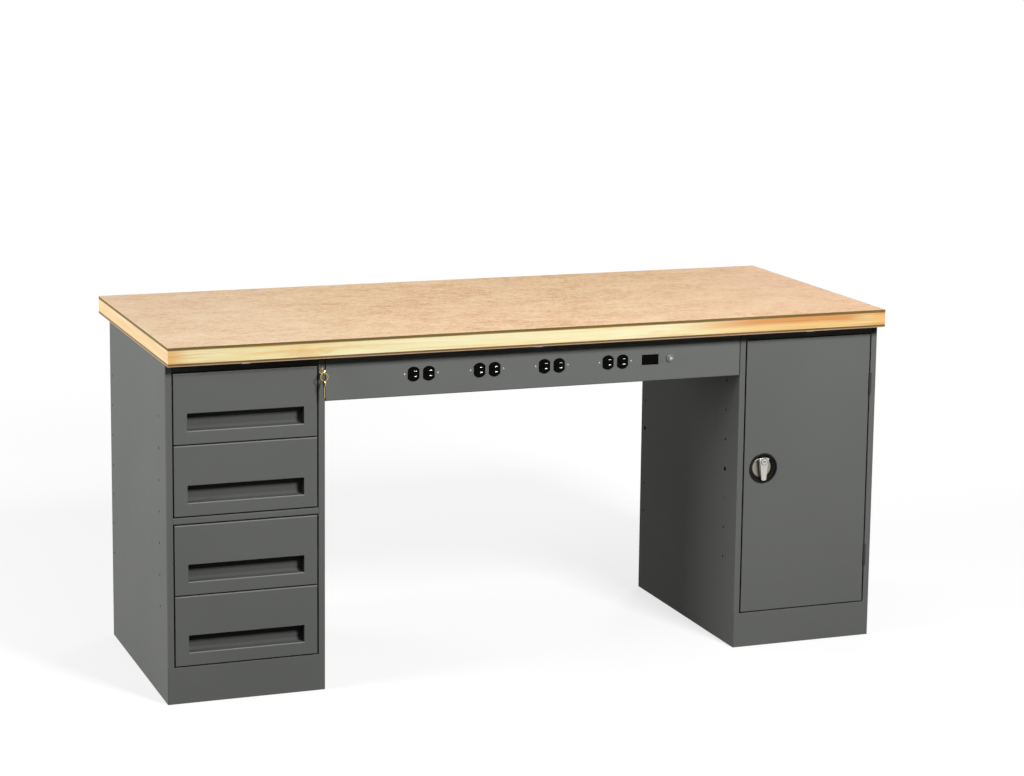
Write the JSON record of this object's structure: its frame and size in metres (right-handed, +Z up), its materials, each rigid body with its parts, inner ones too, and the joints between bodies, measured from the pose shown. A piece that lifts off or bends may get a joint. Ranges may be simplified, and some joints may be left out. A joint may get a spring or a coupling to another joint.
{
  "type": "modular workbench",
  "caption": "Steel workbench: laminated worktop on a drawer pedestal and a cabinet pedestal, joined by an apron with power outlets and a switch.",
  "frame": {"origin": "on the floor under the middle of the worktop", "axes": "+X to the right along the worktop as a worker sees it, +Y to the back, +Z up; the fronts face -Y"},
  "size_m": [1.829, 0.762, 0.851],
  "materials": {
    "hardboard": "tempered hardboard, mottled tan",
    "wood_core": "pale softwood with lengthwise grain",
    "grey_paint": "satin medium grey enamel",
    "zinc_steel": "bright zinc plate",
    "chrome": "polished chrome plate",
    "brass": "bright brass",
    "black_plastic": "black moulded plastic",
    "black_paint": "black enamel"
  },
  "bodies": {
    "bench": {"worktop_bottom_skin": "hardboard", "worktop_core": "wood_core", "worktop_top_skin": "hardboard", "worktop_clips": "zinc_steel", "left_outer_side": "grey_paint", "left_inner_side": "grey_paint", "right_inner_side": "grey_paint", "right_outer_side": "grey_paint", "left_back": "grey_paint", "left_base": "grey_paint", "left_top_frame": "grey_paint", "right_back": "grey_paint", "right_base": "grey_paint", "right_top_frame": "grey_paint", "left_mid_rail": "grey_paint", "slide_posts": "zinc_steel", "slide_cabinet_members": "zinc_steel", "lock_barrel": "chrome", "hinge_frame_leaves": "grey_paint", "hinge_pins": "zinc_steel", "shelf": "grey_paint", "shelf_clips": "zinc_steel", "receptacles": "black_plastic", "apron_panel": "grey_paint", "raceway_cover": "grey_paint", "inlet_bushing": "black_plastic", "switch_housing": "black_plastic", "breaker_body": "chrome"},
    "drawer_1": {"drawer_1_front": "grey_paint", "drawer_1_pull": "grey_paint", "drawer_1_box": "grey_paint", "drawer_1_runners": "zinc_steel"},
    "slide_1": {"drawer_1_middle_slides": "zinc_steel"},
    "drawer_2": {"drawer_2_front": "grey_paint", "drawer_2_pull": "grey_paint", "drawer_2_box": "grey_paint", "drawer_2_runners": "zinc_steel"},
    "slide_2": {"drawer_2_middle_slides": "zinc_steel"},
    "drawer_3": {"drawer_3_front": "grey_paint", "drawer_3_pull": "grey_paint", "drawer_3_box": "grey_paint", "drawer_3_runners": "zinc_steel"},
    "slide_3": {"drawer_3_middle_slides": "zinc_steel"},
    "drawer_4": {"drawer_4_front": "grey_paint", "drawer_4_pull": "grey_paint", "drawer_4_box": "grey_paint", "drawer_4_runners": "zinc_steel"},
    "slide_4": {"drawer_4_middle_slides": "zinc_steel"},
    "lock_plug": {"lock_plug": "brass", "lock_key": "brass"},
    "spare_keys": {"key_ring": "zinc_steel", "spare_key": "brass"},
    "lock_bar": {"lock_bar": "zinc_steel"},
    "door": {"door_panel": "grey_paint", "hinge_door_leaves": "grey_paint", "handle_dish": "black_paint"},
    "lever": {"handle_lever": "chrome", "latch_cam": "zinc_steel"},
    "rocker": {"switch_rocker": "black_plastic"},
    "breaker_button": {"breaker_button": "chrome"}
  },
  "joints": [
    {"name": "drawer_1_slide", "type": "slide", "parent": "bench", "child": "drawer_1", "axis": [0, -1, 0], "range_m": [0, 0.48]},
    {"name": "slide_1_extend", "type": "slide", "parent": "bench", "child": "slide_1", "axis": [0, -1, 0], "range_m": [0, 0.24]},
    {"name": "drawer_2_slide", "type": "slide", "parent": "bench", "child": "drawer_2", "axis": [0, -1, 0], "range_m": [0, 0.48]},
    {"name": "slide_2_extend", "type": "slide", "parent": "bench", "child": "slide_2", "axis": [0, -1, 0], "range_m": [0, 0.24]},
    {"name": "drawer_3_slide", "type": "slide", "parent": "bench", "child": "drawer_3", "axis": [0, -1, 0], "range_m": [0, 0.48]},
    {"name": "slide_3_extend", "type": "slide", "parent": "bench", "child": "slide_3", "axis": [0, -1, 0], "range_m": [0, 0.24]},
    {"name": "drawer_4_slide", "type": "slide", "parent": "bench", "child": "drawer_4", "axis": [0, -1, 0], "range_m": [0, 0.48]},
    {"name": "slide_4_extend", "type": "slide", "parent": "bench", "child": "slide_4", "axis": [0, -1, 0], "range_m": [0, 0.24]},
    {"name": "door_hinge", "type": "hinge", "parent": "bench", "child": "door", "pos_m": [0.896, -0.3484, 0.458], "axis": [0, 0, 1], "range_deg": [0, 165]},
    {"name": "lever_turn", "type": "hinge", "parent": "door", "child": "lever", "pos_m": [0.6045, -0.345, 0.458], "axis": [0, 1, 0], "range_deg": [0, 90]},
    {"name": "lock_turn", "type": "hinge", "parent": "bench", "child": "lock_plug", "pos_m": [-0.5415, -0.345, 0.771], "axis": [0, -1, 0], "range_deg": [0, 90]},
    {"name": "lock_bar_lift", "type": "slide", "parent": "bench", "child": "lock_bar", "axis": [0, 0, 1], "range_m": [0, 0.00708]},
    {"name": "spare_key_swing", "type": "hinge", "parent": "lock_plug", "child": "spare_keys", "pos_m": [-0.5415, -0.3653, 0.771], "axis": [-1, 0, 0], "range_deg": [-5, 60]},
    {"name": "rocker_tip", "type": "hinge", "parent": "bench", "child": "rocker", "pos_m": [0.291, -0.341, 0.7517], "axis": [0, 0, 1], "range_deg": [0, 16]},
    {"name": "button_press", "type": "slide", "parent": "bench", "child": "breaker_button", "axis": [0, 1, 0], "range_m": [0, 0.003], "stiffness_N_per_m": 400}
  ],
  "couplings": [
    {"joint": "slide_1_extend", "follows": "drawer_1_slide", "ratio": 0.5},
    {"joint": "slide_2_extend", "follows": "drawer_2_slide", "ratio": 0.5},
    {"joint": "slide_3_extend", "follows": "drawer_3_slide", "ratio": 0.5},
    {"joint": "slide_4_extend", "follows": "drawer_4_slide", "ratio": 0.5},
    {"joint": "lock_bar_lift", "follows": "lock_turn", "m_per_rad": 0.0045016}
  ]
}
